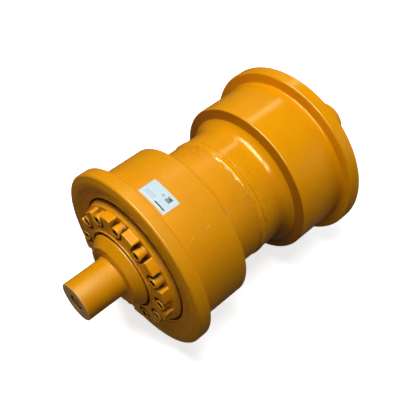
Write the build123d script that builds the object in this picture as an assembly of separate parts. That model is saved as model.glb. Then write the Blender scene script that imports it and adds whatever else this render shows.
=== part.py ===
from build123d import *
import os
from math import degrees, sqrt

# Double-flange track roller. Millimetres, origin at the middle of the roller, roller axis along Y.
# The near end is at -Y and carries the oil plug; the far end is at +Y. Both ends are built alike:
# each end piece is drawn on the far side, with y counted outwards, and mirrored for the near side.

# ---------------------------------------------------------------- driving dimensions
flange_d = 400.0         # across the flanges
tread_d = 350.0          # running tread that the track links roll on
hub_d = 274.0            # waist between the treads
stub_d = 85.0            # shaft ends that the machine holds
shaft_length = 735.0     # overall
screw_count = 12         # cover screws at each end
screw_circle_d = 229.0   # their pitch circle
screw_d = 16.0           # M16
first_screw_angle = 1.5  # first cover screw, from +X towards +Z

static_gap = 0.02        # radial or axial gap between pieces fixed to each other
journal_clearance = 0.08 # radial oil clearance of the shaft in its bushes
seal_gap = 0.3           # oil film and relief between the two metal seal faces
end_float = 0.3          # axial float at each thrust washer
oring_gap = 0.1          # room above and below an O-ring in its groove
oring_side_gap = 0.6     # and beside it

# ---------------------------------------------------------------- shell
seam_y = 3.0             # plane where the two halves are welded
hub_end_y = 54.0         # where the waist starts to swell towards a tread
hub_swell_r = 30.0       # hollow round from the waist to the tread's inner face
tread_foot_r = 154.0     # where that round meets the tread's inner face
tread_foot_y = 80.7
tread_inner_y = 82.6
tread_bevel = 2.4
flange_inner_y = 201.3
flange_rim_y = 230.5
flange_bevel = 2.4
flange_root_r = 5.0      # fillet between tread and flange
ridge_d = 356.0          # low crest on the outer face of a flange
ridge_y = 235.0
ridge_round_r = 40.0
recess_d = 291.0         # pocket that the end cover sits in
recess_rim_y = 226.8
recess_rim_r = 1.5
recess_floor_y = 214.0
spigot_d = 196.0         # cover's centring spigot
reservoir_d = 152.0      # oil space between the bushes
reservoir_end_y = 78.0
tapped_hole_depth = 30.0

weld_width = 19.0
weld_root_width = 4.0
weld_depth = 13.0
weld_height = 1.6

# ---------------------------------------------------------------- bearings
journal_d = 100.0
bush_od = 120.0
bush_inner_y = 84.0
bush_outer_y = 187.0
bush_bevel = 1.5
washer_od = 170.0
washer_id = 102.0
washer_inner_y = 189.0
washer_outer_y = 197.0

# ---------------------------------------------------------------- collar and shaft
seat_d = 88.0            # shaft seat under each collar
seat_end_y = 278.8
collar_face_y = 277.6
collar_face_d = 130.4
collar_d = 163.2
collar_cone_y = 260.4    # where the cone meets the collar's full diameter
collar_shoulder_r = 4.0  # round at that corner
collar_edge_r = 1.2      # round at the front edge
collar_hub_d = 116.0
collar_skirt_y = 246.0
stub_bevel = 2.0

plug_recess_d = 34.0
plug_recess_depth = 9.0
plug_recess_bevel = 1.8
plug_thread_d = 20.0
plug_thread_length = 14.0
plug_head_d = 25.0
plug_head_height = 5.0
plug_head_bevel = 0.8
plug_socket_width = 10.0
plug_socket_depth = 8.0
gasket_id = 20.6
gasket_od = 24.0
gasket_thickness = 1.5
oil_hole_d = 12.0
oil_cross_hole_d = 8.0

# ---------------------------------------------------------------- seals
seal_plane_y = 244.5     # where the two metal rings meet
seal_cavity_depth = 17.5 # from the seal plane to the back wall of each housing
seal_cavity_d = 152.0
ring_id = 120.0
ring_face_d = 142.0
ring_barrel_d = 132.0
ring_face_width = 5.0
ring_neck_width = 7.0
ring_length = 15.2
ring_bevel_width = 2.0   # relief inside the running face
ring_bevel_depth = 1.0
toric_section_r = 4.93
toric_setback = 11.1     # toric centre behind the seal plane

collar_oring_y = 268.0
collar_oring_section_r = 2.0
cover_oring_y = 206.0
cover_oring_section_r = 2.2

# ---------------------------------------------------------------- end cover
cover_d = 286.0
cover_shoulder_y = 224.0 # where the rounded shoulder starts
cover_shoulder_r = 9.0
cover_edge_bevel = 1.0   # where the shoulder meets the pocket floors
lug_d = 264.0            # outer diameter over the lugs
lug_face_y = 255.0
pocket_floor_y = 236.5
pocket_width = 35.0
lug_sink = 1.0           # how far the lugs run into the cover's body
lug_bevel = 1.4
lug_corner_r = 2.4
lip_od = 182.0           # raised lip round the cover's bore
lip_y = 257.6
lip_id = 174.0
lip_outer_r = 1.0
lip_inner_r = 1.5
cover_throat_d = 170.0
throat_y = 251.0
cover_ledge_y = 243.0
cover_back_id = 124.0
cover_spigot_y = 199.5
cover_spigot_r = 1.0     # round at the spigot's leading edge

# ---------------------------------------------------------------- fasteners
screw_head_d = 24.0
screw_head_height = 16.0
screw_head_bevel = 1.2
screw_length = 50.0
screw_tip_bevel = 1.5
screw_socket_width = 14.0
screw_socket_depth = 8.0
screw_hole_d = 17.5
lock_washer_id = 16.4
lock_washer_od = 24.0
lock_washer_thickness = 3.5
lock_washer_split = 2.5
lock_washer_split_angle = 25.0

# ---------------------------------------------------------------- label
label_length = 70.0      # round the tread
label_width = 40.0       # along the axis
label_thickness = 0.25
label_y = -168.0
label_angle = 82.5       # middle of the label, from +X towards +Z


# ---------------------------------------------------------------- helpers
def turned(outline, rounds=()):
    """Solid of revolution about Y from (radius, y) points; `rounds` lists (corner, fillet radius)."""
    face = make_face(Polyline(*outline, close=True))
    for corner, radius in rounds:
        vertex = face.vertices().sort_by_distance(Vector(corner[0], corner[1], 0))[0]
        face = fillet(vertex, radius)
    return revolve(face, axis=Axis.Y)


def turned_ring(inner_r, outer_r, y0, y1):
    """Plain ring with a rectangular section."""
    return turned([(inner_r, y0), (outer_r, y0), (outer_r, y1), (inner_r, y1)])


def round_ring(centre_r, y, section_r):
    """Ring with a round section."""
    return revolve(Pos(centre_r, y, 0) * Circle(section_r), axis=Axis.Y)


def swung(piece, angle):
    """Piece turned about the roller axis, from +X towards +Z."""
    return Rot(0, -angle, 0) * piece


def on_screw_circle(piece, y):
    """Copies of a fastener, drawn along +Z with its seat at z = 0, at every cover screw position."""
    seat = Pos(screw_circle_d / 2, y, 0) * Rot(-90, 0, 0) * piece
    step = 360 / screw_count
    return [swung(seat, first_screw_angle + step * k) for k in range(screw_count)]


def near(piece):
    """The near-end twin of a far-end piece."""
    return mirror(piece, about=Plane.XZ)


# ---------------------------------------------------------------- shell
def shell_half(weld_y):
    """One forged half: waist, tread, flange and cover recess. It is welded to its twin at `weld_y`."""
    tread_r = tread_d / 2
    flange_r = flange_d / 2
    hub_r = hub_d / 2
    recess_r = recess_d / 2
    bore_r = spigot_d / 2 + static_gap
    reservoir_r = reservoir_d / 2
    bush_bore_r = bush_od / 2 + static_gap
    counterbore_r = washer_od / 2 + static_gap
    root_y = weld_y + static_gap
    bevel_y = weld_y + weld_root_width / 2
    groove_y = weld_y + weld_width / 2
    swell = RadiusArc((hub_r, hub_end_y), (tread_foot_r, tread_foot_y), hub_swell_r)
    outside = Polyline(
        (tread_foot_r, tread_foot_y),
        (tread_r - tread_bevel, tread_inner_y),
        (tread_r, tread_inner_y + tread_bevel),
        (tread_r, flange_inner_y),
        (flange_r - flange_bevel, flange_inner_y),
        (flange_r, flange_inner_y + flange_bevel),
        (flange_r, flange_rim_y - flange_bevel),
        (flange_r - flange_bevel, flange_rim_y),
        (ridge_d / 2, ridge_y),
        (recess_r, recess_rim_y),
        (recess_r, recess_floor_y),
        (bore_r, recess_floor_y),
        (bore_r, washer_outer_y),
        (counterbore_r, washer_outer_y),
        (counterbore_r, washer_inner_y - static_gap),
        (bush_bore_r, washer_inner_y - static_gap),
        (bush_bore_r, reservoir_end_y),
        (reservoir_r, reservoir_end_y - (reservoir_r - bush_bore_r)),
        (reservoir_r, root_y),
        (hub_r - weld_depth, root_y),
        (hub_r - weld_depth, bevel_y),
        (hub_r, groove_y),
        (hub_r, hub_end_y),
    )
    face = make_face([swell, outside])
    corners = [
        ((tread_r, flange_inner_y), flange_root_r),
        ((ridge_d / 2, ridge_y), ridge_round_r),
        ((recess_r, recess_rim_y), recess_rim_r),
    ]
    for corner, radius in corners:
        vertex = face.vertices().sort_by_distance(Vector(corner[0], corner[1], 0))[0]
        face = fillet(vertex, radius)
    body = revolve(face, axis=Axis.Y)
    hole = Pos(0, 0, -tapped_hole_depth) * Cylinder(
        screw_d / 2 + static_gap, tapped_hole_depth, align=(Align.CENTER, Align.CENTER, Align.MIN)
    )
    return body - on_screw_circle(hole, recess_floor_y)


def weld_bead():
    """Ring of weld metal that fills the groove between the halves and stands a little proud."""
    hub_r = hub_d / 2
    groove_half = weld_width / 2 - static_gap
    root_half = weld_root_width / 2 - static_gap
    root_r = hub_r - weld_depth + static_gap
    outline = [
        (root_r, seam_y - root_half),
        (hub_r, seam_y - groove_half),
        (hub_r + weld_height, seam_y - groove_half + weld_height),
        (hub_r + weld_height, seam_y + groove_half - weld_height),
        (hub_r, seam_y + groove_half),
        (root_r, seam_y + root_half),
    ]
    return turned(outline)


# ---------------------------------------------------------------- bearings
def bush():
    """Plain bearing sleeve pressed into the shell."""
    inner_r = journal_d / 2 + journal_clearance
    outer_r = bush_od / 2
    outline = [
        (inner_r + bush_bevel, bush_inner_y),
        (outer_r - bush_bevel, bush_inner_y),
        (outer_r, bush_inner_y + bush_bevel),
        (outer_r, bush_outer_y - bush_bevel),
        (outer_r - bush_bevel, bush_outer_y),
        (inner_r + bush_bevel, bush_outer_y),
        (inner_r, bush_outer_y - bush_bevel),
        (inner_r, bush_inner_y + bush_bevel),
    ]
    return turned(outline)


def thrust_washer():
    """Bronze ring in the shell's counterbore; the collar's hub runs against its outer face."""
    return turned_ring(washer_id / 2, washer_od / 2, washer_inner_y, washer_outer_y)


# ---------------------------------------------------------------- shaft group
def shaft():
    """Through shaft: journal, two collar seats and two stubs, with the oil way from the near end."""
    stub_r = stub_d / 2
    seat_r = seat_d / 2
    journal_r = journal_d / 2
    end_y = shaft_length / 2
    journal_end_y = washer_outer_y + end_float
    seat_bevel = seat_r - stub_r
    half = [
        (journal_r, journal_end_y),
        (seat_r, journal_end_y),
        (seat_r, seat_end_y - seat_bevel),
        (stub_r, seat_end_y),
        (stub_r, end_y - stub_bevel),
        (stub_r - stub_bevel, end_y),
    ]
    other_half = [(r, -y) for r, y in reversed(half)]
    body = turned([(0, end_y), (0, -end_y)] + other_half + half)
    return body - oil_way()


def oil_way():
    """Everything drilled into the shaft: plug recess, plug thread, long oil hole and cross hole."""
    end_y = -shaft_length / 2
    recess_r = plug_recess_d / 2
    thread_r = plug_thread_d / 2 + static_gap
    hole_r = oil_hole_d / 2
    recess_y = end_y + plug_recess_depth
    thread_end_y = recess_y + plug_thread_length + gasket_thickness
    outline = [
        (0, end_y),
        (recess_r + plug_recess_bevel, end_y),
        (recess_r, end_y + plug_recess_bevel),
        (recess_r, recess_y),
        (thread_r, recess_y),
        (thread_r, thread_end_y),
        (hole_r, thread_end_y),
        (hole_r, 0),
        (0, hole_r),
    ]
    cross_hole = Cylinder(oil_cross_hole_d / 2, journal_d)
    return turned(outline) + cross_hole


def oil_plug():
    """Screw plug: flat head with a hexagon socket, over a short thread."""
    seat_y = -shaft_length / 2 + plug_recess_depth - gasket_thickness
    thread = Cylinder(
        plug_thread_d / 2, plug_thread_length, align=(Align.CENTER, Align.CENTER, Align.MAX)
    )
    head = Cylinder(plug_head_d / 2, plug_head_height, align=(Align.CENTER, Align.CENTER, Align.MIN))
    head = chamfer(head.edges().group_by(Axis.Z)[-1], plug_head_bevel)
    socket = hexagon_socket(plug_socket_width, plug_socket_depth)
    plug = thread + head - Pos(0, 0, plug_head_height) * socket
    return Pos(0, seat_y, 0) * Rot(90, 0, 0) * plug


def plug_gasket():
    """Copper sealing ring under the plug's head."""
    floor_y = -shaft_length / 2 + plug_recess_depth
    return turned_ring(gasket_id / 2, gasket_od / 2, floor_y - gasket_thickness, floor_y)


def collar():
    """Coned collar pressed on the shaft: its hub takes the thrust, its skirt houses the still seal."""
    bore_r = seat_d / 2 + static_gap
    hub_r = collar_hub_d / 2
    face_r = collar_face_d / 2
    outer_r = collar_d / 2
    cavity_r = seal_cavity_d / 2
    back_y = seal_plane_y + seal_cavity_depth
    hub_y = washer_outer_y + end_float + static_gap
    outline = [
        (bore_r, hub_y),
        (hub_r, hub_y),
        (hub_r, back_y),
        (cavity_r, back_y),
        (cavity_r, collar_skirt_y),
        (outer_r, collar_skirt_y),
        (outer_r, collar_cone_y),
        (face_r, collar_face_y),
        (bore_r, collar_face_y),
    ]
    rounds = [
        ((outer_r, collar_cone_y), collar_shoulder_r),
        ((face_r, collar_face_y), collar_edge_r),
    ]
    groove_r = bore_r + 2 * (collar_oring_section_r + oring_gap)
    groove_half = collar_oring_section_r + oring_side_gap
    groove = turned_ring(0, groove_r, collar_oring_y - groove_half, collar_oring_y + groove_half)
    return turned(outline, rounds) - groove


def collar_oring():
    """Rubber ring between the collar's bore and the shaft."""
    centre_r = seat_d / 2 + collar_oring_section_r + oring_gap
    return round_ring(centre_r, collar_oring_y, collar_oring_section_r)


# ---------------------------------------------------------------- seals
def metal_seal(direction):
    """Hard metal face ring; `direction` is +1 for the still ring and -1 for the turning one."""
    inner_r = ring_id / 2
    face_r = ring_face_d / 2
    barrel_r = ring_barrel_d / 2
    face_y = seal_plane_y + direction * seal_gap / 2

    def at(depth):
        return face_y + direction * depth

    outline = [
        (inner_r + ring_bevel_width, at(0)),
        (face_r, at(0)),
        (face_r, at(ring_face_width)),
        (barrel_r, at(ring_neck_width)),
        (barrel_r, at(ring_length)),
        (inner_r, at(ring_length)),
        (inner_r, at(ring_bevel_depth)),
    ]
    return turned(outline)


def toric(direction):
    """Rubber ring that presses a metal ring's barrel away from its housing."""
    centre_r = (ring_barrel_d + seal_cavity_d) / 4
    return round_ring(centre_r, seal_plane_y + direction * toric_setback, toric_section_r)


# ---------------------------------------------------------------- end cover
def end_cover():
    """Cast cover with a raised crown cut into lugs, one pocket for each screw."""
    body = turned(cover_outline(), cover_rounds()) + crown()
    through_length = 2 * (lug_face_y - cover_spigot_y)
    body -= on_screw_circle(Cylinder(screw_hole_d / 2, through_length), pocket_floor_y)
    groove_r = spigot_d / 2 - 2 * (cover_oring_section_r + oring_gap)
    groove_half = cover_oring_section_r + oring_side_gap
    groove = turned_ring(groove_r, spigot_d, cover_oring_y - groove_half, cover_oring_y + groove_half)
    return body - groove


def cover_outline():
    """Section of the cover without its lugs."""
    seat_y = recess_floor_y + static_gap
    back_r = cover_back_id / 2
    cavity_r = seal_cavity_d / 2
    back_y = seal_plane_y - seal_cavity_depth
    return [
        (back_r, cover_spigot_y),
        (spigot_d / 2, cover_spigot_y),
        (spigot_d / 2, seat_y),
        (cover_d / 2, seat_y),
        (cover_d / 2, cover_shoulder_y),
        (lug_d / 2, pocket_floor_y - cover_edge_bevel),
        (lug_d / 2 - cover_edge_bevel, pocket_floor_y),
        (lip_od / 2, pocket_floor_y),
        (lip_od / 2, lip_y),
        (lip_id / 2, lip_y),
        (lip_id / 2, throat_y),
        (cover_throat_d / 2, throat_y),
        (cover_throat_d / 2, cover_ledge_y),
        (cavity_r, cover_ledge_y),
        (cavity_r, back_y),
        (back_r, back_y),
    ]


def cover_rounds():
    """Corners of the cover's section that are rounded."""
    return [
        ((cover_d / 2, cover_shoulder_y), cover_shoulder_r),
        ((lip_od / 2, lip_y), lip_outer_r),
        ((lip_id / 2, lip_y), lip_inner_r),
        ((spigot_d / 2, cover_spigot_y), cover_spigot_r),
    ]


def crown():
    """The lugs: a ring with a U-shaped pocket, open outwards, round each screw head."""
    lug_r = lug_d / 2
    screw_r = screw_circle_d / 2
    pocket_length = lug_r - screw_r + pocket_width
    pocket = Circle(pocket_width / 2)
    pocket += Rectangle(pocket_length, pocket_width, align=(Align.MIN, Align.CENTER))
    lip_r = lip_od / 2
    ring = Circle(lug_r) - Circle(lip_r - lug_sink)
    step = 360 / screw_count
    for k in range(screw_count):
        ring -= Rot(0, 0, first_screw_angle + step * k) * Pos(screw_r, 0) * pocket
    outer_corners = ring.vertices().filter_by(lambda v: sqrt(v.X**2 + v.Y**2) > lug_r - lug_sink)
    ring = fillet(outer_corners, lug_corner_r)
    base_y = pocket_floor_y - lug_sink
    lugs = extrude(ring, lug_face_y - base_y)
    top = lugs.faces().sort_by(Axis.Z)[-1]
    rim = top.edges().filter_by(lambda e: sqrt((e @ 0.5).X ** 2 + (e @ 0.5).Y ** 2) > lip_r)
    lugs = chamfer(rim, lug_bevel)
    return Pos(0, base_y, 0) * mirror(Rot(-90, 0, 0) * lugs, about=Plane.XY)


def cover_oring():
    """Rubber ring in the cover's spigot."""
    centre_r = spigot_d / 2 - cover_oring_section_r
    return round_ring(centre_r, cover_oring_y, cover_oring_section_r)


# ---------------------------------------------------------------- fasteners
def hexagon_socket(width, depth):
    """Cutter for a hexagon socket that is sunk from z = 0."""
    hexagon = RegularPolygon(width / 2, 6, major_radius=False)
    return extrude(hexagon, -depth)


def cover_screw():
    """Socket-head cap screw along Z, with its head's underside at z = 0."""
    head = Cylinder(
        screw_head_d / 2, screw_head_height, align=(Align.CENTER, Align.CENTER, Align.MIN)
    )
    head = chamfer(head.edges().group_by(Axis.Z)[-1], screw_head_bevel)
    shank = Cylinder(screw_d / 2, screw_length, align=(Align.CENTER, Align.CENTER, Align.MAX))
    shank = chamfer(shank.edges().group_by(Axis.Z)[0], screw_tip_bevel)
    socket = Pos(0, 0, screw_head_height) * hexagon_socket(screw_socket_width, screw_socket_depth)
    return head + shank - socket


def lock_washer():
    """Split spring washer along Z, with its underside at z = 0 and its split towards the roller axis."""
    ring = Cylinder(lock_washer_od / 2, lock_washer_thickness) - Cylinder(
        lock_washer_id / 2, lock_washer_thickness
    )
    cutter = Box(lock_washer_od, lock_washer_split, lock_washer_od)
    split = Pos(-lock_washer_od / 2, 0, 0) * Rot(lock_washer_split_angle, 0, 0) * cutter
    return Pos(0, 0, lock_washer_thickness / 2) * (ring - split)


def cover_screws():
    """The cover screws of one end, as a group."""
    return Compound(children=on_screw_circle(cover_screw(), pocket_floor_y + lock_washer_thickness))


def cover_washers():
    """The lock washers of one end, as a group."""
    return Compound(children=on_screw_circle(lock_washer(), pocket_floor_y))


# ---------------------------------------------------------------- label
def label():
    """Blank paper label that lies on the near tread."""
    inner_r = tread_d / 2 + static_gap
    spread = degrees(label_length / (tread_d / 2))
    section = Pos(inner_r + label_thickness / 2, label_y) * Rectangle(label_thickness, label_width)
    patch = revolve(section, axis=Axis.Y, revolution_arc=spread)
    return swung(patch, label_angle + spread / 2)


# ---------------------------------------------------------------- assembly
def end_pieces():
    """Pieces that both ends have, drawn at the far end."""
    return {
        "collar": collar(),
        "collar_oring": collar_oring(),
        "fixed_seal": metal_seal(+1),
        "fixed_toric": toric(+1),
        "bush": bush(),
        "thrust_washer": thrust_washer(),
        "end_cover": end_cover(),
        "cover_oring": cover_oring(),
        "cover_screws": cover_screws(),
        "cover_washers": cover_washers(),
        "moving_seal": metal_seal(-1),
        "moving_toric": toric(-1),
    }


def single_pieces():
    """Pieces that the roller has once."""
    return {
        "shaft": shaft(),
        "oil_plug": oil_plug(),
        "plug_gasket": plug_gasket(),
        "shell_near": near(shell_half(-seam_y)),
        "shell_far": shell_half(seam_y),
        "weld_bead": weld_bead(),
        "label": label(),
    }


def main():
    os.makedirs("parts", exist_ok=True)
    for name, piece in single_pieces().items():
        export_step(piece, f"parts/{name}.step")
    for name, piece in end_pieces().items():
        export_step(piece, f"parts/{name}_far.step")
        export_step(near(piece), f"parts/{name}_near.step")


main()
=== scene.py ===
from math import atan2, ceil, cos, degrees, pi, radians, sin, sqrt, tan

import bmesh
import bpy
from mathutils import Matrix, Vector, noise


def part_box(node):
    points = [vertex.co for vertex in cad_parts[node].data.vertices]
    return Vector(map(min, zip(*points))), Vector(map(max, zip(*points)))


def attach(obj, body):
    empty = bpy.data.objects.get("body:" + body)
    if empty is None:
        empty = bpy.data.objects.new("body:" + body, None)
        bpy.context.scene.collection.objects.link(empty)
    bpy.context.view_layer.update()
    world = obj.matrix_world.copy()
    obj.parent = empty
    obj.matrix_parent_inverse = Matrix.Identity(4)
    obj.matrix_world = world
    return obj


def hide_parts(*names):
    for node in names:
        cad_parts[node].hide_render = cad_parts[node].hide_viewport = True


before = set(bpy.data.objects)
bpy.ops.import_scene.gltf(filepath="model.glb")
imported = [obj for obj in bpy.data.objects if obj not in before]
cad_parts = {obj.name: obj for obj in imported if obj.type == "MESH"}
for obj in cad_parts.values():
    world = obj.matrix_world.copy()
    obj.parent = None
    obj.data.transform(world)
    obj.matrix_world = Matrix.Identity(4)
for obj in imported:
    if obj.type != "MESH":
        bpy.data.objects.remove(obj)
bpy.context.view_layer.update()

# Looks of the double-flange track roller. Outlines are (radius, y) in millimetres about the roller
# axis, which is Y. End pieces are drawn at the far end (+Y) and mirrored for the near end.

MM = 0.001
AROUND = 288              # divisions round the large turned pieces
AROUND_SMALL = 144        # round the shaft group
AROUND_WELD = 480         # round the weld, whose ripples are fine
AROUND_HOLE = 32          # and round a screw hole
SHARP_ANGLE = radians(34) # edges steeper than this stay crisp


def radius_of(node):
    """Outer radius of a CAD node, in millimetres."""
    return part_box(node)[1].x / MM


def end_of(node):
    """Furthest y of a CAD node, in millimetres."""
    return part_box(node)[1].y / MM


# ---------------------------------------------------------------- outlines
def rounded(corners, step=15.0):
    """Closed outline from (radius, y, round) corners, with each round drawn as an arc."""
    points = []
    for k in range(len(corners)):
        corner = Vector(corners[k][:2])
        size = corners[k][2]
        if size == 0:
            points.append(corner)
            continue
        before = (Vector(corners[k - 1][:2]) - corner).normalized()
        after = (Vector(corners[(k + 1) % len(corners)][:2]) - corner).normalized()
        half = before.angle(after) / 2
        centre = corner + (before + after).normalized() * size / sin(half)
        start = corner + before * size / tan(half) - centre
        end = corner + after * size / tan(half) - centre
        turn = atan2(start.cross(end), start.dot(end))
        steps = max(2, ceil(degrees(abs(turn)) / step))
        points += [centre + Matrix.Rotation(turn * i / steps, 2) @ start for i in range(steps + 1)]
    return points


def densified(outline, longest, y_from, y_to):
    """The outline with its straight stretches between two heights cut into short steps."""
    points = []
    for start, end in zip(outline, outline[1:] + outline[:1]):
        points.append(start)
        inside = min(start.y, end.y) >= y_from and max(start.y, end.y) <= y_to
        pieces = ceil((end - start).length / longest) if inside else 1
        points += [start.lerp(end, i / pieces) for i in range(1, pieces)]
    return points


def inset(loop, distance):
    """A closed plan outline moved sideways, towards its left-hand side when distance is positive."""
    points = []
    for k in range(len(loop)):
        before = (loop[k] - loop[k - 1]).normalized()
        after = (loop[(k + 1) % len(loop)] - loop[k]).normalized()
        left = Vector((-before.y - after.y, before.x + after.x)).normalized()
        spread = max(0.5, left.dot(Vector((-before.y, before.x))))
        points.append(loop[k] + left * distance / spread)
    return points


# ---------------------------------------------------------------- meshes
def skin(bm, ring, after):
    """Faces between two rings of vertices; a ring may be one vertex."""
    count = max(len(ring), len(after))
    for k in range(count):
        n = (k + 1) % count
        corners = [
            ring[k % len(ring)],
            ring[n % len(ring)],
            after[n % len(after)],
            after[k % len(after)],
        ]
        distinct = list(dict.fromkeys(corners))
        if len(distinct) > 2:
            bm.faces.new(distinct)


def lathe(outline, around=AROUND):
    """Closed solid of revolution about Y."""
    bm = bmesh.new()
    turns = [2 * pi * k / around for k in range(around)]
    rings = []
    for r, y in outline:
        if r == 0:
            rings.append([bm.verts.new((0, y * MM, 0))])
        else:
            rings.append([bm.verts.new((r * MM * cos(a), y * MM, r * MM * sin(a))) for a in turns])
    for ring, after in zip(rings, rings[1:] + rings[:1]):
        skin(bm, ring, after)
    bmesh.ops.recalc_face_normals(bm, faces=bm.faces)
    return bm


def stack(levels, sides=48):
    """Closed solid along Z from (size, z, shape) levels, each a "round" or a "hexagon"."""
    bm = bmesh.new()
    rings = []
    for size, z, shape in levels:
        ring = []
        for k in range(sides):
            a = 2 * pi * (k + 0.5) / sides
            swing = (a % (pi / 3)) - pi / 6
            r = size if shape == "round" else size / cos(swing)
            ring.append(bm.verts.new((r * MM * cos(a), r * MM * sin(a), z * MM)))
        rings.append(ring)
    for ring, after in zip(rings, rings[1:]):
        skin(bm, ring, after)
    bm.faces.new(rings[0])
    bm.faces.new(rings[-1])
    bmesh.ops.recalc_face_normals(bm, faces=bm.faces)
    return bm


def near(bm):
    """The same mesh mirrored to the near end."""
    bmesh.ops.scale(bm, vec=(1, -1, 1), verts=bm.verts)
    bmesh.ops.reverse_faces(bm, faces=bm.faces)
    return bm


def mesh_of(bm, name):
    """The bmesh as mesh data; the bmesh is used up."""
    mesh = bpy.data.meshes.new(name)
    bm.to_mesh(mesh)
    bm.free()
    return mesh


def combined(bm, other, operation):
    """Boolean of two closed meshes; both are used up."""
    scene = bpy.context.scene.collection
    base = bpy.data.objects.new("base", mesh_of(bm, "base"))
    tool = bpy.data.objects.new("tool", mesh_of(other, "tool"))
    scene.objects.link(base)
    scene.objects.link(tool)
    boolean = base.modifiers.new("boolean", "BOOLEAN")
    boolean.operation = operation
    boolean.solver = "EXACT"
    boolean.object = tool
    graph = bpy.context.evaluated_depsgraph_get()
    result = bmesh.new()
    result.from_object(base, graph)
    bpy.data.objects.remove(base)
    bpy.data.objects.remove(tool)
    return result


def on_screw_circle(bm, y):
    """Twelve copies of a mesh that is drawn along +Z with its seat at z = 0."""
    mesh = mesh_of(bm, "screw_copy")
    group = bmesh.new()
    seat = Matrix.Translation((SCREW_CIRCLE_R * MM, y * MM, 0)) @ Matrix.Rotation(-pi / 2, 4, "X")
    for k in range(SCREW_COUNT):
        turn = Matrix.Rotation(-radians(FIRST_SCREW + k * 360 / SCREW_COUNT), 4, "Y")
        copy = bmesh.new()
        copy.from_mesh(mesh)
        bmesh.ops.transform(copy, matrix=turn @ seat, verts=copy.verts)
        copied = mesh_of(copy, "screw_placed")
        group.from_mesh(copied)
        bpy.data.meshes.remove(copied)
    bpy.data.meshes.remove(mesh)
    return group


def place(name, bm, body, material, slot, *replaced):
    """Turns a mesh into a piece of the roller."""
    mesh = mesh_of(bm, name)
    mesh.materials.append(material)
    mesh.shade_smooth()
    mesh.set_sharp_from_angle(angle=SHARP_ANGLE)
    piece = bpy.data.objects.new(name, mesh)
    bpy.context.scene.collection.objects.link(piece)
    even = piece.modifiers.new("even shading", "WEIGHTED_NORMAL")
    even.keep_sharp = True
    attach(piece, body)
    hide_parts(*replaced)
    return piece


# ---------------------------------------------------------------- sizes
FLANGE_R = radius_of("shell_far")
SHAFT_END = end_of("shaft")
SCREW_COUNT = 12
SCREW_CIRCLE_R = 114.5
FIRST_SCREW = 1.5         # degrees from +X towards +Z
SCREW_SEAT = 240.0        # underside of the screw heads, on their washers
PLUG_SEAT = 360.0         # underside of the oil plug's head
GAP = 0.02                # between pieces fixed to each other
SEAM_Y = 3.0              # the weld's middle
GROOVE_HALF = 9.5         # half the width of the weld groove at the waist
WELD_ROOT_HALF = 2.0      # and at its root
WELD_ROOT_R = 124.0
TREAD_R = 175.0
WAIST_R = 137.0
RECESS_R = 145.5          # the recess that holds the end cover
RECESS_FLOOR = 214.0
POCKET_FLOOR = 236.5
LUG_R = 132.0
LUG_FACE = 255.0
LIP_R = 91.0              # the cover's lip round the collar
LABEL_Y = (-188.0, -148.0)
LABEL_LENGTH = 70.0       # measured round the tread
LABEL_MIDDLE = 82.5       # degrees from +X towards +Z
LABEL_HALF = degrees(LABEL_LENGTH / 2 / TREAD_R)
SCRATCHES = ((49.2, -0.173, 0.3), (49.7, -0.134, 0.2))    # middle in degrees, y in metres, slant


# ---------------------------------------------------------------- shell
def swell():
    """Hollow round from the waist up to the tread's inner face."""
    rise = 17.0
    run = 26.7
    start_y = 54.0
    size = (rise**2 + run**2) / (2 * rise)
    last = Vector((size - rise, run)).angle(Vector((1, 0)))
    steps = 13
    points = []
    for k in range(steps):
        a = last * k / steps
        points.append((WAIST_R + size * (1 - cos(a)), start_y + size * sin(a), 0))
    return points


def shell_outline(seam):
    """Section of one shell half, with the weld groove's edge at its seam."""
    groove_y = seam + GROOVE_HALF
    root_y = seam + GAP
    flange_inner_y = 201.3
    spigot_bore_r = 98 + GAP
    washer_bore_r = 85 + GAP
    washer_outer_y = 197
    washer_inner_y = 189 - GAP
    bush_bore_r = 60 + GAP
    oil_space_r = 76
    return rounded(
        [
            (oil_space_r, root_y, 0),
            (WELD_ROOT_R, root_y, 0),
            (WELD_ROOT_R, seam + WELD_ROOT_HALF, 0),
            (WAIST_R, groove_y, 1.0),
            *swell(),
            (154, 80.7, 6),                   # foot of the step up to the tread
            (TREAD_R, 83, 4.5),
            (TREAD_R, flange_inner_y, 4),
            (FLANGE_R, flange_inner_y, 4.5),
            (FLANGE_R, 230, 5),
            (178, 235, 40),                   # crest of the flange's outer face
            (150.8, 228.1, 0.4),              # shallow step round the cover's recess
            (149.8, 226.3, 0.5),
            (RECESS_R, 225.4, 1.2),
            (RECESS_R, RECESS_FLOOR, 1),
            (spigot_bore_r, RECESS_FLOOR, 0.8),
            (spigot_bore_r, washer_outer_y, 0),
            (washer_bore_r, washer_outer_y, 0),
            (washer_bore_r, washer_inner_y, 0),
            (bush_bore_r, washer_inner_y, 0),
            (bush_bore_r, 78, 0),
            (oil_space_r, 62.02, 0),
        ],
        step=10,
    )


def noise_at(point, around, along):
    """Smooth noise at a point, with its scale across the roller and along it."""
    return noise.noise(Vector((point.x * around, point.y * along, point.z * around)))


def forged(bm, seam):
    """Wrinkles and small dents in the waist on both sides of the weld."""
    reach = 40.0
    deepest = 0.5
    for vert in bm.verts:
        r = sqrt(vert.co.x**2 + vert.co.z**2)
        if r < WAIST_R * MM - 0.0005 or r > WAIST_R * MM + 0.003:
            continue
        away = abs(vert.co.y / MM - seam)
        if away > reach:
            continue
        depth = deepest * (1 - away / reach)
        wave = noise_at(vert.co, 70, 150) + 0.6 * noise_at(vert.co, 190, 260)
        vert.co *= 1 - depth * MM * abs(wave) / r
    return bm


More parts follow.
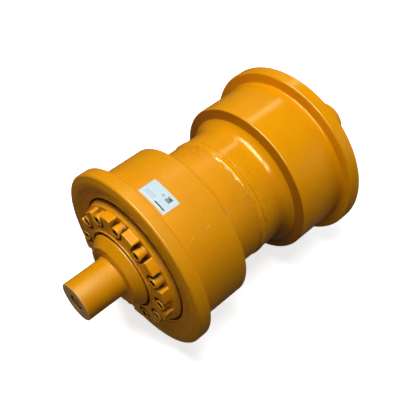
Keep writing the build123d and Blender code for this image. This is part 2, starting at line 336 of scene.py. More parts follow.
def shell_half(seam):
    """Near half when seam is negative, but always drawn on the far side."""
    tapped_r = 8 + GAP
    tapped_depth = 30
    outline = densified(shell_outline(seam), longest=2.0, y_from=5, y_to=55)
    body = lathe(outline)
    hole = stack([(tapped_r, -tapped_depth, "round"), (tapped_r, 1, "round")], AROUND_HOLE)
    return combined(body, on_screw_circle(hole, RECESS_FLOOR), "DIFFERENCE")


def weld_bead():
    """Weld metal round the waist, with the fine ripples of a machine-laid bead."""
    y = SEAM_Y
    root_r = WELD_ROOT_R + GAP
    root_half = WELD_ROOT_HALF - GAP
    ripple_height = 0.22
    swing_height = 0.3
    wander_width = 0.8
    outline = rounded(
        [
            (root_r, y - root_half, 0),
            (136.8, y - 9.3, 0),
            (139.4, y - 4.5, 9),
            (138.9, y + 6.5, 2.5),
            (136.0, y + 9.0, 0),
            (root_r, y + root_half, 0),
        ],
        step=6,
    )
    outline = densified(outline, longest=1.2, y_from=y - 9, y_to=y + 9)
    bm = lathe(outline, AROUND_WELD)
    for vert in bm.verts:
        r = sqrt(vert.co.x**2 + vert.co.z**2)
        if r < WAIST_R * MM:
            continue
        ripple = noise_at(vert.co, 260, 60)
        swing = noise_at(vert.co, 40, 30)
        wander = noise.noise(Vector((vert.co.x * 90, 0.3, vert.co.z * 90)))
        vert.co *= 1 + (ripple_height * ripple + swing_height * swing) * MM / r
        vert.co.y += wander_width * wander * MM
    return bm


# ---------------------------------------------------------------- end cover
def crown_plan():
    """Plan outline of the lugs, with a U-shaped pocket round each screw."""
    half = 17.5
    lug_corner_r = 3.4
    pocket_r = half - 0.3          # leaves a short flat, so that the two rounds stay apart
    chords = 6                     # straight pieces along a lug's outer arc
    corner = sqrt(LUG_R**2 - half**2)
    bottom = SCREW_CIRCLE_R - half
    gap = degrees(Vector((corner, half)).angle(Vector((1, 0))))
    step = 360 / SCREW_COUNT
    corners = []
    for k in range(SCREW_COUNT):
        turn = Matrix.Rotation(radians(FIRST_SCREW + k * step), 2)
        pocket = [
            (corner, -half, lug_corner_r),
            (bottom, -half, pocket_r),
            (bottom, half, pocket_r),
            (corner, half, lug_corner_r),
        ]
        for x, z, size in pocket:
            corners.append((*(turn @ Vector((x, z))), size))
        for i in range(1, chords):
            a = radians(FIRST_SCREW + k * step + gap + (step - 2 * gap) * i / chords)
            corners.append((LUG_R * cos(a), LUG_R * sin(a), 0))
    return rounded(corners, step=11)


def crown():
    """The lugs as one closed solid, with cast rounds at their tops and feet."""
    plan = crown_plan()
    foot = 1.6                     # round between a lug and the pocket floor
    foot_steps = 4
    brow = 2.2                     # round between a lug's sides and its face
    brow_steps = 5
    draft = 0.3                    # brow and draft together stay below the lug's corner radius
    sunk = POCKET_FLOOR - 5
    inner_r = LIP_R - 2            # inside the lip, where the cover's body hides it
    inner_sides = 240
    levels = [(-foot, sunk)]
    for k in range(foot_steps + 1):
        a = pi / 2 * k / foot_steps
        levels.append((-foot * (1 - sin(a)), POCKET_FLOOR + foot * (1 - cos(a))))
    for k in range(brow_steps + 1):
        a = pi / 2 * k / brow_steps
        levels.append((draft + brow * (1 - cos(a)), LUG_FACE - brow * (1 - sin(a))))
    bm = bmesh.new()
    rings = []
    for offset, y in levels:
        ring = [bm.verts.new((p.x * MM, y * MM, p.y * MM)) for p in inset(plan, offset)]
        rings.append(ring)
    for ring, after in zip(rings, rings[1:]):
        skin(bm, ring, after)
    inner = []
    for y in (sunk, LUG_FACE):
        ring = []
        for k in range(inner_sides):
            a = 2 * pi * k / inner_sides
            ring.append(bm.verts.new((inner_r * MM * cos(a), y * MM, inner_r * MM * sin(a))))
        inner.append(ring)
    skin(bm, inner[0], inner[1])
    for outside, inside in ((rings[0], inner[0]), (rings[-1], inner[1])):
        edges = [bm.edges.get((v, ring[(i + 1) % len(ring)])) for ring in (outside, inside)
                 for i, v in enumerate(ring)]
        bmesh.ops.triangle_fill(bm, use_beauty=True, edges=edges)
    bmesh.ops.recalc_face_normals(bm, faces=bm.faces)
    return bm


def cover_body():
    """Turned part of the end cover: shoulder, pocket floors, lip and seal housing."""
    inner_r = 62
    spigot_r = 98
    spigot_y = 199.5
    oring_floor_r = 93.4
    seat_y = RECESS_FLOOR + GAP
    shoulder_r = 143
    lip_y = 257.6
    lip_inner_r = 87
    throat_r = 85
    throat_y = 251
    ledge_y = 243
    seal_r = 76
    seal_back_y = 227
    corners = [
        (inner_r, spigot_y, 0.5),
        (spigot_r, spigot_y, 1),
        (spigot_r, 203.2, 0),
        (oring_floor_r, 203.2, 0),
        (oring_floor_r, 208.8, 0),
        (spigot_r, 208.8, 0),
        (spigot_r, seat_y, 0),
        (shoulder_r, seat_y, 0.5),
        (shoulder_r, 224, 9),
        (134.6, POCKET_FLOOR, 1.5),
        (LIP_R, POCKET_FLOOR, 0),
        (LIP_R, lip_y, 1),
        (lip_inner_r, lip_y, 1.5),
        (lip_inner_r, throat_y, 0.5),
        (throat_r, throat_y, 0.5),
        (throat_r, ledge_y, 0),
        (seal_r, ledge_y, 0.5),
        (seal_r, seal_back_y, 0.5),
        (inner_r, seal_back_y, 0.5),
    ]
    return lathe(rounded(corners))


def end_cover():
    """Whole end cover, with its twelve screw holes."""
    screw_hole_r = 8.75
    cover = combined(cover_body(), crown(), "UNION")
    hole = stack([(screw_hole_r, -40, "round"), (screw_hole_r, 5, "round")], AROUND_HOLE)
    return combined(cover, on_screw_circle(hole, POCKET_FLOOR), "DIFFERENCE")


# ---------------------------------------------------------------- fasteners
def cover_screw():
    """Socket-head cap screw along +Z, with the underside of its head at z = 0."""
    thread_r = 8
    head_r = 12
    top = 16
    socket = 7.0                   # half its width across the flats
    return stack(
        [
            (thread_r - 1.5, -50, "round"),
            (thread_r, -48.5, "round"),
            (thread_r, 0, "round"),
            (head_r - 0.5, 0, "round"),
            (head_r, 0.5, "round"),
            (head_r, 13.6, "round"),
            (11.8, 14.6, "round"),
            (11.3, 15.4, "round"),
            (10.5, 15.9, "round"),
            (9.6, top, "round"),
            (8.0, top, "hexagon"),
            (socket, 15.0, "hexagon"),
            (socket, 8, "hexagon"),
            (4.5, 7.2, "round"),
        ]
    )


def oil_plug():
    """Screw plug along +Z, with the underside of its head at z = 0."""
    thread_r = 10
    head_r = 12.5
    top = 5
    socket = 5.0                   # half its width across the flats
    return stack(
        [
            (thread_r - 1, -14, "round"),
            (thread_r, -13, "round"),
            (thread_r, 0, "round"),
            (12.2, 0, "round"),
            (head_r, 0.3, "round"),
            (head_r, 4.2, "round"),
            (12.2, 4.75, "round"),
            (11.6, top, "round"),
            (5.5, top, "hexagon"),
            (socket, 4.5, "hexagon"),
            (socket, -3, "hexagon"),
            (3.5, -3.5, "round"),
        ]
    )


# ---------------------------------------------------------------- shaft group
def shaft():
    """Shaft with its oil way, both stubs and the plug's recess."""
    journal_r = 50
    journal_end_y = 197.3
    seat_r = 44
    seat_end_y = 277.62
    stub_r = 42.5
    oil_hole_r = 6
    plug_hole_r = 10 + GAP
    plug_hole_y = -343
    recess_r = 17
    recess_y = -358.5
    recess_bevel = 1.8
    cross_hole_r = 4
    half = [
        (journal_r, journal_end_y, 0.5),
        (seat_r, journal_end_y, 0.5),
        (seat_r, seat_end_y, 0),
        (45.0, seat_end_y, 0.2),             # small cone at the stub's root
        (stub_r, 279.8, 3.5),
        (stub_r, SHAFT_END, 2.6),
    ]
    near_half = [(r, -y, size) for r, y, size in reversed(half)]
    oil_way = [
        (0, oil_hole_r, 0),
        (oil_hole_r, 0, 0),
        (oil_hole_r, plug_hole_y, 0),
        (plug_hole_r, plug_hole_y, 0),
        (plug_hole_r, recess_y, 0),
        (recess_r, recess_y, 0.5),
        (recess_r, -SHAFT_END + recess_bevel, 0.6),
        (recess_r + recess_bevel, -SHAFT_END, 0.6),
    ]
    corners = oil_way + near_half + half + [(0, SHAFT_END, 0)]
    cross_hole = stack([(cross_hole_r, -60, "round"), (cross_hole_r, 60, "round")], 24)
    return combined(lathe(rounded(corners), AROUND_SMALL), cross_hole, "DIFFERENCE")


def collar():
    """Coned collar with its O-ring groove and seal housing."""
    bore_r = 44 + GAP
    back_y = 197.32
    hub_r = 58
    seal_r = 76
    seal_back_y = 262
    skirt_r = 81.6
    skirt_y = 246
    face_y = 277.6
    oring_floor_r = 48.22
    corners = [
        (bore_r, back_y, 0),
        (hub_r, back_y, 0.5),
        (hub_r, seal_back_y, 0.5),
        (seal_r, seal_back_y, 0.5),
        (seal_r, skirt_y, 0.3),
        (skirt_r, skirt_y, 0.5),
        (skirt_r, 260.4, 4),
        (65.2, face_y, 2.4),
        (bore_r, face_y, 0.5),
        (bore_r, 270.6, 0),
        (oring_floor_r, 270.6, 0),
        (oring_floor_r, 265.4, 0),
        (bore_r, 265.4, 0),
    ]
    return lathe(rounded(corners), AROUND_SMALL)


# ---------------------------------------------------------------- label
def label():
    """Thin paper label that follows the near tread."""
    thickness = 0.25
    inner = TREAD_R + GAP
    outer = inner + thickness
    y0, y1 = LABEL_Y
    columns = 48
    rows = 24
    bm = bmesh.new()

    def sheet(r):
        grid = []
        for i in range(columns + 1):
            a = radians(LABEL_MIDDLE + LABEL_HALF - 2 * LABEL_HALF * i / columns)
            line = []
            for j in range(rows + 1):
                y = y0 + (y1 - y0) * j / rows
                line.append(bm.verts.new((r * MM * cos(a), y * MM, r * MM * sin(a))))
            grid.append(line)
        for i in range(columns):
            for j in range(rows):
                bm.faces.new([grid[i][j], grid[i + 1][j], grid[i + 1][j + 1], grid[i][j + 1]])
        edge = [grid[i][0] for i in range(columns + 1)]
        edge += [grid[columns][j] for j in range(1, rows + 1)]
        edge += [grid[i][rows] for i in range(columns - 1, -1, -1)]
        edge += [grid[0][j] for j in range(rows - 1, 0, -1)]
        return edge

    skin(bm, sheet(inner), sheet(outer))
    bmesh.ops.recalc_face_normals(bm, faces=bm.faces)
    return bm


# ---------------------------------------------------------------- materials
# Places and depths inside a material are in metres, as object coordinates are.
class Tree:
    """Short calls for building a material's nodes."""

    def __init__(self, name):
        self.material = bpy.data.materials.new(name)
        self.material.use_nodes = True
        self.tree = self.material.node_tree
        self.tree.nodes.clear()
        self.shader = self.node("ShaderNodeBsdfPrincipled")
        output = self.node("ShaderNodeOutputMaterial")
        self.link(self.shader.outputs[0], output.inputs["Surface"])
        self.place = self.node("ShaderNodeTexCoord").outputs["Object"]

    def node(self, kind, **settings):
        made = self.tree.nodes.new(kind)
        for key, value in settings.items():
            setattr(made, key, value)
        return made

    def link(self, source, target):
        self.tree.links.new(source, target)

    def feed(self, target, value):
        if isinstance(value, bpy.types.NodeSocket):
            self.link(value, target)
        else:
            target.default_value = value

    def math(self, operation, a, b=0.0):
        made = self.node("ShaderNodeMath", operation=operation)
        self.feed(made.inputs[0], a)
        self.feed(made.inputs[1], b)
        return made.outputs[0]

    def noise(self, scale, detail=3.0, rough=0.5, vector=None):
        made = self.node("ShaderNodeTexNoise")
        self.feed(made.inputs["Vector"], vector or self.place)
        made.inputs["Scale"].default_value = scale
        made.inputs["Detail"].default_value = detail
        made.inputs["Roughness"].default_value = rough
        return made.outputs["Fac"]

    def ramp(self, value, low, high, out_low=0.0, out_high=1.0):
        made = self.node("ShaderNodeMapRange")
        self.feed(made.inputs["Value"], value)
        made.inputs["From Min"].default_value = low
        made.inputs["From Max"].default_value = high
        made.inputs["To Min"].default_value = out_low
        made.inputs["To Max"].default_value = out_high
        return made.outputs[0]

    def mix(self, factor, a, b):
        made = self.node("ShaderNodeMix", data_type="RGBA")
        self.feed(made.inputs[0], factor)
        self.feed(made.inputs[6], a)
        self.feed(made.inputs[7], b)
        return made.outputs[2]

    def bump(self, height, distance, normal=None):
        made = self.node("ShaderNodeBump")
        made.inputs["Distance"].default_value = distance
        self.link(height, made.inputs["Height"])
        if normal is not None:
            self.link(normal, made.inputs["Normal"])
        return made.outputs[0]

    def edges(self, radius):
        """1 along sharp convex or concave edges, 0 on open faces."""
        soft = self.node("ShaderNodeBevel", samples=6)
        soft.inputs["Radius"].default_value = radius
        flat = self.node("ShaderNodeNewGeometry").outputs["Normal"]
        dot = self.node("ShaderNodeVectorMath", operation="DOT_PRODUCT")
        self.link(soft.outputs[0], dot.inputs[0])
        self.link(flat, dot.inputs[1])
        return self.ramp(dot.outputs["Value"], 0.995, 0.90)

    def hollow(self, distance):
        """1 deep in corners, 0 in the open."""
        shade = self.node("ShaderNodeAmbientOcclusion", samples=8)
        shade.inputs["Distance"].default_value = distance
        return self.ramp(shade.outputs["AO"], 0.85, 0.25)

    def around_axis(self):
        """Radius in metres, turn in radians from +X towards +Z, and y in metres."""
        split = self.node("ShaderNodeSeparateXYZ")
        self.link(self.place, split.inputs[0])
        across = self.math("POWER", split.outputs["X"], 2.0)
        up = self.math("POWER", split.outputs["Z"], 2.0)
        r = self.math("SQRT", self.math("ADD", across, up))
        turn = self.math("ARCTAN2", split.outputs["Z"], split.outputs["X"])
        return r, turn, split.outputs["Y"]

    def turned(self, scale):
        """Fine rings about the roller axis, as a lathe leaves them."""
        r, _, y = self.around_axis()
        join = self.node("ShaderNodeCombineXYZ")
        self.link(r, join.inputs["X"])
        self.link(y, join.inputs["Y"])
        return self.noise(scale, 2.0, 0.6, join.outputs[0])

    def within(self, value, low, high):
        """1 between two limits, 0 outside them."""
        above = self.math("GREATER_THAN", value, low)
        return self.math("MULTIPLY", above, self.math("LESS_THAN", value, high))

    def both(self, a, b):
        """Product of two masks, or of a mask and a strength."""
        return self.math("MULTIPLY", a, b)


def color(red, green, blue):
    """Opaque linear colour."""
    return (red, green, blue, 1.0)


WORN_AND_HIGHLIGHT = color(0.93, 0.58, 0.22)        # paint rubbed thin along edges, and a painted highlight on them
PAINTED_SHADE = color(0.045, 0.018, 0.003)    # painted shade deep in corners, gaps and recesses
SAG_DEPTH = 0.00015                   # slow waves in the enamel, in metres
RING_DEPTH = 0.00001                  # lathe marks that show through it


def enamel(name, *details, rough, grain, wear_and_highlight, tone, dirt_and_shade, gleam):
    """Gloss orange enamel, sprayed over everything once the roller is assembled.

    Each detail is a function that paints one more thing over it. rough is the mean roughness, grain
    the depth of the orange peel in metres, and tone scales the colour. Two strengths run from 0 to 1:
    the edge wear, which lightens edges with rubbed paint and a painted highlight, and the corner
    darkening, which darkens corners with dirt and painted shade.
    """
    t = Tree(name)
    broad = t.ramp(t.noise(14, 4.0, 0.6), 0.3, 0.7)
    deep = color(0.86 * tone, 0.333 * tone, 0.0003)
    base = t.mix(broad, deep, color(0.92 * tone, 0.370 * tone, 0.0005))
    cloud = t.ramp(t.noise(60, 3.0, 0.5), 0.45, 0.75, 0.0, 0.3)
    base = t.mix(cloud, base, color(0.81 * tone, 0.298 * tone, 0.0005))
    speck = t.ramp(t.noise(640, 2.0, 0.6), 0.50, 0.75, 0.0, grain * 1800)
    base = t.mix(speck, base, color(0.60, 0.21, 0.001))
    # Edges lighter: paint rubbed thin, and a painted highlight along them.
    edge = t.edges(0.0018)
    patch = t.ramp(t.noise(120, 4.0, 0.65), 0.42, 0.60)
    base = t.mix(t.both(t.both(edge, patch), wear_and_highlight), base, WORN_AND_HIGHLIGHT)
    for detail in details:
        base = detail(t, base)
    # Ambient occlusion darkens corners with dirt and painted shade, and deep gaps go near black as
    # painted shade.
    occlusion = t.hollow(0.012)
    base = t.mix(t.both(t.ramp(occlusion, 0.1, 0.7), dirt_and_shade), base, color(0.34, 0.12, 0.002))
    base = t.mix(t.ramp(occlusion, 0.45, 0.95, 0.0, 0.85), base, PAINTED_SHADE)
    t.link(base, t.shader.inputs["Base Color"])
    gloss = t.ramp(t.noise(220, 3.0, 0.6), 0.3, 0.7, 0.85 * rough, 1.25 * rough)
    t.link(t.math("ADD", gloss, t.both(occlusion, 0.3)), t.shader.inputs["Roughness"])
    t.shader.inputs["Specular IOR Level"].default_value = gleam
    peel = t.bump(t.noise(520, 3.0, 0.55), grain)
    sag = t.bump(t.noise(45, 2.0, 0.5), SAG_DEPTH, peel)
    t.link(t.bump(t.turned(420), RING_DEPTH, sag), t.shader.inputs["Normal"])
    return t.material


def flange_face_shade(t, base):
    """Painted shade on the outer flange face, darkest towards the recess, broken into fine turned
    bands.
    """
    face_y = 0.2262
    inner_r = 0.146
    outer_r = 0.190
    r, _, y = t.around_axis()
    face = t.math("GREATER_THAN", t.math("ABSOLUTE", y), face_y)
    shade_strength = t.ramp(r, inner_r, outer_r, 0.60, 0.15)
    fine = t.ramp(t.turned(260), 0.44, 0.56, 0.25, 1.0)
    # Painted shade in fine turned bands, strongest towards the recess.
    return t.mix(t.both(t.both(face, shade_strength), fine), base, color(0.26, 0.10, 0.006))


def step_face_shade(t, base):
    """Painted shade on the steep faces between waist and tread."""
    step_y = (0.078, 0.0835)
    step_r = (0.152, 0.1735)
    r, _, y = t.around_axis()
    step = t.both(t.within(t.math("ABSOLUTE", y), *step_y), t.within(r, *step_r))
    # Painted shade on the step faces.
    return t.mix(t.both(step, 0.85), base, color(0.42, 0.15, 0.002))


def pits(t, base):
    """Fine dark squiggles in the forged skin beside the weld."""
    thickest_y = 0.014
    last_y = 0.050
    _, _, y = t.around_axis()
    beside = t.ramp(t.math("ABSOLUTE", y), thickest_y, last_y, 1.0, 0.0)
    line = t.math("ABSOLUTE", t.math("SUBTRACT", t.noise(110, 4.0, 0.6), 0.5))
    some = t.ramp(t.noise(30, 2.0, 0.5), 0.50, 0.60)
    mark = t.both(t.both(t.ramp(line, 0.003, 0.020, 1.0, 0.0), some), beside)
    return t.mix(t.both(mark, 0.85), base, color(0.28, 0.085, 0.002))


def scratches(t, base):
    """Two short scuffs on the near tread."""
    half_length = 0.007
    half_width = 0.0004
    blur = 0.0008
    _, turn, y = t.around_axis()
    for middle, middle_y, slant in SCRATCHES:
        along = t.math("SUBTRACT", y, middle_y)
        round_it = t.math("MULTIPLY", t.math("SUBTRACT", turn, radians(middle)), TREAD_R * MM)
        wander = t.both(t.math("SUBTRACT", t.noise(240, 2.0, 0.5), 0.5), 0.003)
        off_line = t.math("SUBTRACT", round_it, t.both(along, slant))
        line = t.math("ABSOLUTE", t.math("ADD", off_line, wander))
        mark = t.both(
            t.ramp(line, half_width, half_width + blur, 1.0, 0.0),
            t.within(along, -half_length, half_length),
        )
        broken = t.ramp(t.noise(700, 2.0, 0.5), 0.40, 0.60)
        base = t.mix(t.both(t.both(mark, broken), 0.7), base, color(0.90, 0.62, 0.30))
    return base


def thin_spray(t, base):
    """Slightly darker paint on the collars, where the spray was thin."""
    thin = t.ramp(t.noise(25, 2.0, 0.5), 0.3, 0.7, 0.12, 0.24)
    return t.mix(thin, base, color(0.36, 0.11, 0.002))


def shoulder_flecks_and_gap_shade(t, base):
    """Primer showing in small flecks along the end cover's shoulder, and painted shadow in the gap
    beside it.
    """
    gap_shade_r = (0.1405, 0.1422)       # where the painted shadow of the gap sets in, and where it is darkest
    fleck_r = (0.134, 0.139)
    r, _, _ = t.around_axis()
    # Painted shadow of the gap between the cover and the flange's recess.
    base = t.mix(t.ramp(r, *gap_shade_r, 0.0, 0.9), base, PAINTED_SHADE)
    zone = t.ramp(r, *fleck_r)
    chip = t.ramp(t.noise(420, 3.0, 0.7), 0.56, 0.63)
    some = t.ramp(t.noise(50, 2.0, 0.5), 0.45, 0.58)
    return t.mix(t.both(t.both(t.both(chip, some), zone), 0.8), base, color(0.93, 0.70, 0.40))


def shaft_ends(t, base):
    """Dusty end faces, and painted shade in the recess round the oil plug."""
    face_y = 0.3660
    recess_y = (0.3575, 0.3662)
    recess_r = (0.0126, 0.0174)    # floor and wall of the plug's recess, outside the plug's head
    r, _, y = t.around_axis()
    out = t.math("ABSOLUTE", y)
    face = t.math("GREATER_THAN", out, face_y)
    dust = t.ramp(t.noise(160, 3.0, 0.6), 0.3, 0.7, 0.45, 0.7)
    base = t.mix(t.both(face, dust), base, color(0.74, 0.52, 0.24))
    # Painted shade on the floor and wall of the plug's recess, round the plug's head.
    recess = t.both(t.within(out, *recess_y), t.within(r, *recess_r))
    return t.mix(t.both(recess, 0.6), base, PAINTED_SHADE)


def socket_shade(t, base):
    """Painted shade inside the screws' sockets, near black deep in them."""
    # Painted shade, from ambient occlusion inside each socket.
    return t.mix(t.ramp(t.hollow(0.016), 0.25, 0.7), base, color(0.012, 0.006, 0.003))


def metal(name, tint, rough, rings):
    """Machined metal inside the roller, oily, with lathe marks of a depth in metres."""
    t = Tree(name)
    stain = t.ramp(t.noise(50, 4.0, 0.6), 0.35, 0.7)
    dark = color(*(0.6 * c for c in tint))
    base = t.mix(stain, color(*tint), dark)
    edge = t.both(t.edges(0.001), 0.6)
    base = t.mix(edge, base, color(*(min(1.0, 1.35 * c) for c in tint)))
    t.link(base, t.shader.inputs["Base Color"])
    t.link(t.ramp(stain, 0, 1, rough, rough + 0.15), t.shader.inputs["Roughness"])
    t.shader.inputs["Metallic"].default_value = 1.0
    t.link(t.bump(t.turned(700), rings), t.shader.inputs["Normal"])
    return t.material


def rubber():
    """Dull black rubber of the torics and O-rings, a little dusty."""
    t = Tree("rubber")
    dust = t.ramp(t.noise(160, 4.0, 0.6), 0.45, 0.75)
    base = t.mix(dust, color(0.018, 0.018, 0.019), color(0.055, 0.052, 0.048))
    base = t.mix(t.both(t.edges(0.001), 0.4), base, color(0.08, 0.08, 0.08))
    t.link(base, t.shader.inputs["Base Color"])
    t.link(t.ramp(dust, 0, 1, 0.55, 0.75), t.shader.inputs["Roughness"])
    t.link(t.bump(t.noise(1500, 2.0, 0.5), 0.00005), t.shader.inputs["Normal"])
    return t.material


def label_paper():
    """Pale coated paper with a meaningless block pattern and a plain bar, and no lettering."""
    t = Tree("label_paper")
    _, turn, y = t.around_axis()
    start = radians(LABEL_MIDDLE + LABEL_HALF)
    # along and across are in millimetres from one corner of the label
    along = t.math("MULTIPLY", t.math("SUBTRACT", start, turn), TREAD_R)
    across = t.math("SUBTRACT", t.math("DIVIDE", y, MM), LABEL_Y[0])

    def block(u0, u1, v0, v1):
        """1 inside a rectangle of the label, in millimetres along it and across it."""
        return t.both(t.within(along, u0, u1), t.within(across, v0, v1))

    def cells(width, height, share):
        """Cells of a size in millimetres, of which a random share is 1."""
        join = t.node("ShaderNodeCombineXYZ")
        t.link(t.math("FLOOR", t.math("DIVIDE", along, width)), join.inputs["X"])
        t.link(t.math("FLOOR", t.math("DIVIDE", across, height)), join.inputs["Y"])
        grid = t.node("ShaderNodeTexWhiteNoise", noise_dimensions="2D")
        t.link(join.outputs[0], grid.inputs["Vector"])
        return t.math("LESS_THAN", grid.outputs["Value"], share)

    paper = t.mix(t.noise(60, 3.0, 0.5), color(0.50, 0.66, 0.76), color(0.66, 0.78, 0.86))
    paper = t.mix(t.ramp(along, 0, LABEL_LENGTH, 0.3, 0.0), paper, color(0.40, 0.58, 0.72))
    ink = color(0.02, 0.022, 0.025)
    base = t.mix(t.both(block(47, 59, 22, 34), cells(0.9, 0.9, 0.68)), paper, ink)
    base = t.mix(t.both(block(36, 42, 24, 32), cells(6.0, 1.3, 0.5)), base, color(0.25, 0.3, 0.34))
    base = t.mix(block(38, 64, 5.5, 8.5), base, ink)
    faint = t.both(block(8, 34, 7, 16), cells(26.0, 1.6, 0.5))
    base = t.mix(t.both(faint, 0.4), base, color(0.30, 0.34, 0.38))
    t.link(base, t.shader.inputs["Base Color"])
    t.link(t.ramp(t.noise(90, 2.0), 0.3, 0.7, 0.32, 0.45), t.shader.inputs["Roughness"])
    t.link(t.bump(t.noise(400, 2.0, 0.5), 0.00003), t.shader.inputs["Normal"])
    return t.material


# ---------------------------------------------------------------- assembly
def build():
    """Every piece in its place, and better materials on the CAD nodes that stay."""
    far_paint = enamel("enamel_far_shell", flange_face_shade, step_face_shade, pits,
                       rough=0.17, grain=0.00002, wear_and_highlight=0.5, tone=1.0, dirt_and_shade=0.3, gleam=0.55)
    near_paint = enamel("enamel_near_shell", flange_face_shade, step_face_shade, pits, scratches,
                        rough=0.30, grain=0.00010, wear_and_highlight=0.5, tone=0.9, dirt_and_shade=0.3, gleam=0.4)
    cast_paint = enamel("enamel_cast", shoulder_flecks_and_gap_shade,
                        rough=0.22, grain=0.00004, wear_and_highlight=0.7, tone=1.0, dirt_and_shade=0.15, gleam=0.55)
    shaft_paint = enamel("enamel_shaft", shaft_ends,
                         rough=0.28, grain=0.00004, wear_and_highlight=0.5, tone=0.9, dirt_and_shade=0.2, gleam=0.35)
    collar_paint = enamel("enamel_collar", thin_spray,
                          rough=0.24, grain=0.00003, wear_and_highlight=0.5, tone=0.9, dirt_and_shade=0.1, gleam=0.4)
    screw_paint = enamel("enamel_screws", socket_shade,
                         rough=0.22, grain=0.00003, wear_and_highlight=0.8, tone=1.0, dirt_and_shade=0.1, gleam=0.5)
    place("shell_near_half", near(forged(shell_half(-SEAM_Y), -SEAM_Y)), "roller",
          near_paint, "paint", "shell_near")
    place("shell_far_half", forged(shell_half(SEAM_Y), SEAM_Y), "roller",
          far_paint, "paint", "shell_far")
    place("weld_ring", weld_bead(), "roller", far_paint, "paint", "weld_bead")
    place("axle_shaft", shaft(), "axle", shaft_paint, "paint", "shaft")
    plug = oil_plug()
    seat = Matrix.Translation((0, -PLUG_SEAT * MM, 0)) @ Matrix.Rotation(pi / 2, 4, "X")
    bmesh.ops.transform(plug, matrix=seat, verts=plug.verts)
    place("oil_screw_plug", plug, "axle", shaft_paint, "paint", "oil_plug")
    place("label_sheet", label(), "roller", label_paper(), "label_paper", "label")
    for end in ("near", "far"):
        twin = near if end == "near" else (lambda bm: bm)
        place(f"collar_{end}_cone", twin(collar()), "axle", collar_paint, "paint", f"collar_{end}")
        place(f"cover_{end}_casting", twin(end_cover()), "roller", cast_paint, "paint",
              f"end_cover_{end}")
        screws = on_screw_circle(cover_screw(), SCREW_SEAT)
        place(f"screws_{end}_set", twin(screws), "roller", screw_paint, "paint",
              f"cover_screws_{end}")
    finishes = {
        "cover_washers": cast_paint,
        "bush": metal("bronze", (0.62, 0.44, 0.24), rough=0.28, rings=0.00002),
        "fixed_seal": metal("seal_iron", (0.36, 0.36, 0.37), rough=0.22, rings=0.00001),
        "plug_gasket": metal("copper", (0.72, 0.40, 0.26), rough=0.35, rings=0.00001),
        "fixed_toric": rubber(),
    }
    finishes["thrust_washer"] = finishes["bush"]
    finishes["moving_seal"] = finishes["fixed_seal"]
    for name in ("moving_toric", "collar_oring", "cover_oring"):
        finishes[name] = finishes["fixed_toric"]
    for node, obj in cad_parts.items():
        family = node.removesuffix("_near").removesuffix("_far")
        if family in finishes:
            obj.data.materials.clear()
            obj.data.materials.append(finishes[family])


# ---------------------------------------------------------------- studio
def backdrop(name, bm, shine, casts):
    """A stage piece that shows as a plain pale surface and throws no light on the roller."""
    t = Tree(f"studio_{name}")
    t.link(t.mix(t.noise(3, 2.0), color(0.86, 0.86, 0.86), color(0.9, 0.9, 0.9)),
           t.shader.inputs["Base Color"])
    t.shader.inputs["Roughness"].default_value = 0.9
    t.shader.inputs["Emission Color"].default_value = color(1, 1, 1)
    t.shader.inputs["Emission Strength"].default_value = shine
    mesh = mesh_of(bm, name)
    mesh.materials.append(t.material)
    obj = bpy.data.objects.new(name, mesh)
    bpy.context.scene.collection.objects.link(obj)
    obj.visible_diffuse = False
    obj.visible_glossy = False
    obj.visible_shadow = casts


def stage():
    """Round floor that the flanges stand on, with a wall at its rim."""
    room_r = 6.0
    top = 6.0
    sides = 64
    low = -FLANGE_R * MM
    floor = bmesh.new()
    wall = bmesh.new()
    turns = [2 * pi * k / sides for k in range(sides)]
    floor.faces.new([floor.verts.new((room_r * cos(a), room_r * sin(a), low)) for a in turns])
    rings = []
    for z in (low, top):
        rings.append([wall.verts.new((room_r * cos(a), room_r * sin(a), z)) for a in turns])
    skin(wall, rings[0], rings[1])
    backdrop("floor", floor, 0.72, True)
    backdrop("wall", wall, 0.76, False)


WARM = (0.93, 1.0, 0.55)
WHITE = (1.0, 1.0, 1.0)


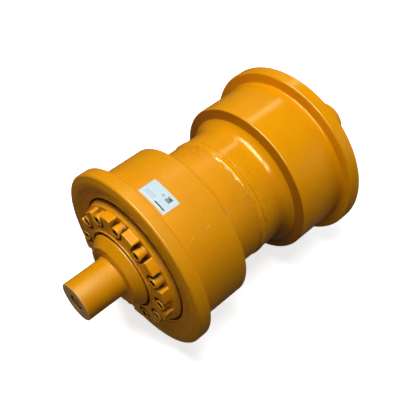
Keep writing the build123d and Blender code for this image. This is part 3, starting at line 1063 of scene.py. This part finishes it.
def lamp(name, place, aim, size, power, tint=WHITE, fill=True, sheen=True):
    """Rectangular softbox at a place in metres, aimed at a point, for fill, for sheen or both."""
    data = bpy.data.lights.new(name, "AREA")
    data.shape = "RECTANGLE"
    data.size, data.size_y = size
    data.energy = power
    data.color = tint
    obj = bpy.data.objects.new(name, data)
    obj.location = place
    obj.rotation_euler = (Vector(aim) - Vector(place)).to_track_quat("-Z", "Y").to_euler()
    obj.visible_diffuse = fill
    obj.visible_glossy = sheen
    bpy.context.scene.collection.objects.link(obj)


def studio():
    """Stage, lamps and a faint even sky. Glint, wing and strip give highlights; the others fill."""
    stage()
    lamp("ceiling", (-0.15, -0.36, 2.54), (-0.15, -0.36, 0), (2.2, 0.5), 67, sheen=False)
    lamp("glint", (-0.10, -0.42, 2.54), (-0.10, -0.42, 0), (2.3, 0.72), 165, WARM, fill=False)
    lamp("wing", (1.35, -0.5, 1.9), (0, 0, 0), (1.0, 0.4), 16, WARM, fill=False)
    lamp("strip", (-1.0, 0.9, 1.65), (0, 0.9, 0), (2.6, 0.24), 7, WARM, fill=False)
    lamp("side", (1.6, 2.2, 0.7), (0, 0.2, 0), (1.5, 1.5), 16, sheen=False)
    lamp("front", (0.25, -1.7, 0.0), (0.05, -0.25, -0.08), (0.8, 0.4), 3.1, sheen=False)
    lamp("back", (-1.7, 2.0, 0.9), (0, 0, 0), (1.5, 1.5), 12, sheen=False)
    world = bpy.data.worlds.new("studio")
    world.use_nodes = True
    sky = world.node_tree.nodes["Background"]
    sky.inputs["Color"].default_value = (1, 1, 1, 1)
    sky.inputs["Strength"].default_value = 0.035
    bpy.context.scene.world = world


def camera():
    """Camera above the near end, to its right."""
    data = bpy.data.cameras.new("camera")
    data.lens = 60.017
    data.sensor_width = 36.0
    obj = bpy.data.objects.new("camera", data)
    obj.location = (0.6351, -0.6366, 1.102)
    look = Vector((-0.4629, 0.4308, -0.7747))
    obj.rotation_euler = look.to_track_quat("-Z", "Y").to_euler()
    bpy.context.scene.collection.objects.link(obj)
    bpy.context.scene.camera = obj


build()
studio()
camera()
bpy.context.scene.view_settings.view_transform = "Standard"
